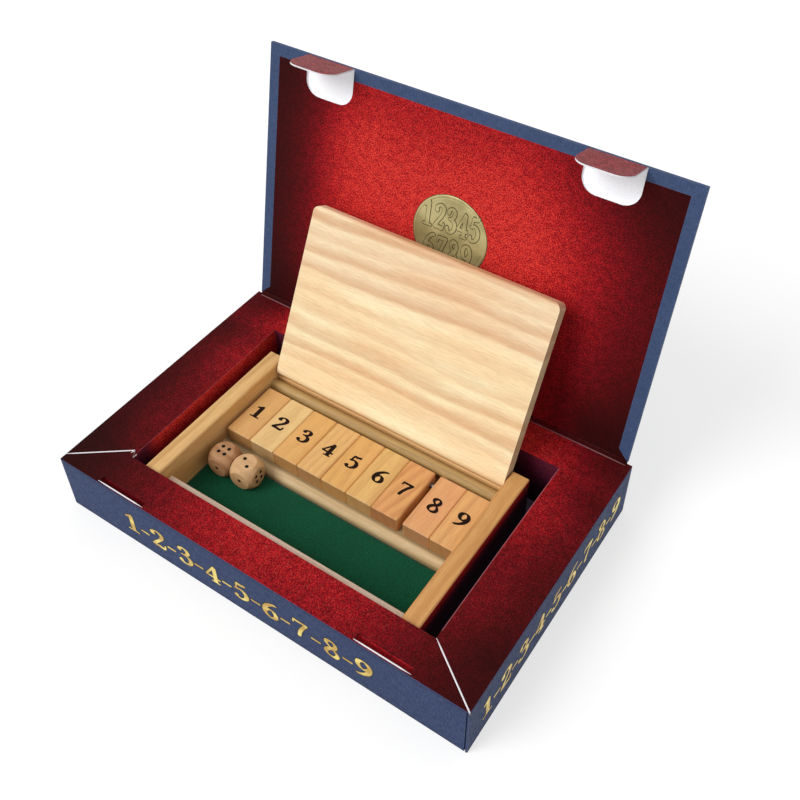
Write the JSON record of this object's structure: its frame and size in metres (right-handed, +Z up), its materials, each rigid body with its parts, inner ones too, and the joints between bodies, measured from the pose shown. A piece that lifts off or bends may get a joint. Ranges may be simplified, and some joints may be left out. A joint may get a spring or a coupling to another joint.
{
  "type": "shut the box game",
  "caption": "Wooden dice game with hinged number tiles and a hinged lid, standing in the well of a folding card carton with a tabbed lid.",
  "frame": {"origin": "middle of the carton's underside, which rests on the table", "axes": "+X to the right along the carton's front edge, +Y from the front to the hinge side, +Z up"},
  "size_m": [0.2, 0.1553, 0.1563],
  "materials": {
    "blue_card": "fine linen",
    "red_card": "printed, matt",
    "liner_card": "printed, matt",
    "tab_card": "printed, matt",
    "rail_wood": "lacquered",
    "plywood": "bare",
    "green_felt": "felt",
    "steel": "plain",
    "pine": "lacquered",
    "tile_wood": "lacquered",
    "die_wood": "bare"
  },
  "bodies": {
    "carton": {"carton_floor": "blue_card", "front_wall": "blue_card", "back_wall": "blue_card", "left_wall": "blue_card", "right_wall": "blue_card", "front_surround": "red_card", "back_surround": "red_card", "left_surround": "red_card", "right_surround": "red_card", "hinge_crease": "red_card"},
    "carton_lid": {"lid_panel": "blue_card", "lid_liner": "liner_card", "lid_left_border": "blue_card", "lid_right_border": "blue_card", "lid_front_border_left": "blue_card", "lid_front_border_middle": "blue_card", "lid_front_border_right": "blue_card"},
    "left_tab_flap": {"left_tab": "tab_card"},
    "right_tab_flap": {"right_tab": "tab_card"},
    "tray": {"tray_left_rail": "rail_wood", "tray_right_rail": "rail_wood", "tray_front_rail": "rail_wood", "tray_back_rail": "rail_wood", "tray_base": "plywood", "felt": "green_felt", "tile_sill": "rail_wood", "tile_stop_strip": "rail_wood", "tile_rod": "steel", "left_lid_pin": "steel", "right_lid_pin": "steel"},
    "wooden_lid_board": {"wooden_lid": "pine"},
    "number_tile_1": {"tile_1": "tile_wood"},
    "number_tile_2": {"tile_2": "tile_wood"},
    "number_tile_3": {"tile_3": "tile_wood"},
    "number_tile_4": {"tile_4": "tile_wood"},
    "number_tile_5": {"tile_5": "tile_wood"},
    "number_tile_6": {"tile_6": "tile_wood"},
    "number_tile_7": {"tile_7": "tile_wood"},
    "number_tile_8": {"tile_8": "tile_wood"},
    "number_tile_9": {"tile_9": "tile_wood"},
    "loose_die_1": {"die_1": "die_wood"},
    "loose_die_2": {"die_2": "die_wood"}
  },
  "joints": [
    {"name": "carton_lid_hinge", "type": "hinge", "parent": "carton", "child": "carton_lid", "pos_m": [0, 0.06373, 0.0299], "axis": [-1, 0, 0], "range_deg": [-101.9, 0]},
    {"name": "left_tab_fold", "type": "hinge", "parent": "carton_lid", "child": "left_tab_flap", "pos_m": [-0.0658, 0.08954, 0.1524], "axis": [1, 0, 0], "range_deg": [0, 92]},
    {"name": "right_tab_fold", "type": "hinge", "parent": "carton_lid", "child": "right_tab_flap", "pos_m": [0.0633, 0.08954, 0.1524], "axis": [1, 0, 0], "range_deg": [0, 92]},
    {"name": "tray_lift", "type": "slide", "parent": "carton", "child": "tray", "axis": [0, 0, 1], "range_m": [0, 0.05]},
    {"name": "wooden_lid_hinge", "type": "hinge", "parent": "tray", "child": "wooden_lid_board", "pos_m": [-0.0007, 0.03263, 0.02475], "axis": [-1, 0, 0], "range_deg": [-117, 0]},
    {"name": "tile_1_hinge", "type": "hinge", "parent": "tray", "child": "number_tile_1", "pos_m": [-0.053, 0.01817, 0.0171], "axis": [-1, 0, 0], "range_deg": [0, 120]},
    {"name": "tile_2_hinge", "type": "hinge", "parent": "tray", "child": "number_tile_2", "pos_m": [-0.04006, 0.01817, 0.0171], "axis": [-1, 0, 0], "range_deg": [0, 120]},
    {"name": "tile_3_hinge", "type": "hinge", "parent": "tray", "child": "number_tile_3", "pos_m": [-0.02712, 0.01817, 0.0171], "axis": [-1, 0, 0], "range_deg": [0, 120]},
    {"name": "tile_4_hinge", "type": "hinge", "parent": "tray", "child": "number_tile_4", "pos_m": [-0.01418, 0.01817, 0.0171], "axis": [-1, 0, 0], "range_deg": [0, 120]},
    {"name": "tile_5_hinge", "type": "hinge", "parent": "tray", "child": "number_tile_5", "pos_m": [-0.00124, 0.01817, 0.0171], "axis": [-1, 0, 0], "range_deg": [0, 120]},
    {"name": "tile_6_hinge", "type": "hinge", "parent": "tray", "child": "number_tile_6", "pos_m": [0.0117, 0.01817, 0.0171], "axis": [-1, 0, 0], "range_deg": [0, 120]},
    {"name": "tile_7_hinge", "type": "hinge", "parent": "tray", "child": "number_tile_7", "pos_m": [0.02464, 0.01817, 0.0171], "axis": [-1, 0, 0], "range_deg": [0, 120]},
    {"name": "tile_8_hinge", "type": "hinge", "parent": "tray", "child": "number_tile_8", "pos_m": [0.04008, 0.01817, 0.0171], "axis": [-1, 0, 0], "range_deg": [0, 120]},
    {"name": "tile_9_hinge", "type": "hinge", "parent": "tray", "child": "number_tile_9", "pos_m": [0.05302, 0.01817, 0.0171], "axis": [-1, 0, 0], "range_deg": [0, 120]},
    {"name": "die_1_lift", "type": "slide", "parent": "tray", "child": "loose_die_1", "axis": [0, 0, 1], "range_m": [0, 0.04]},
    {"name": "die_2_lift", "type": "slide", "parent": "tray", "child": "loose_die_2", "axis": [0, 0, 1], "range_m": [0, 0.04]}
  ],
  "couplings": [
    {"joint": "wooden_lid_hinge", "follows": "carton_lid_hinge", "ratio": 1.1482}
  ]
}
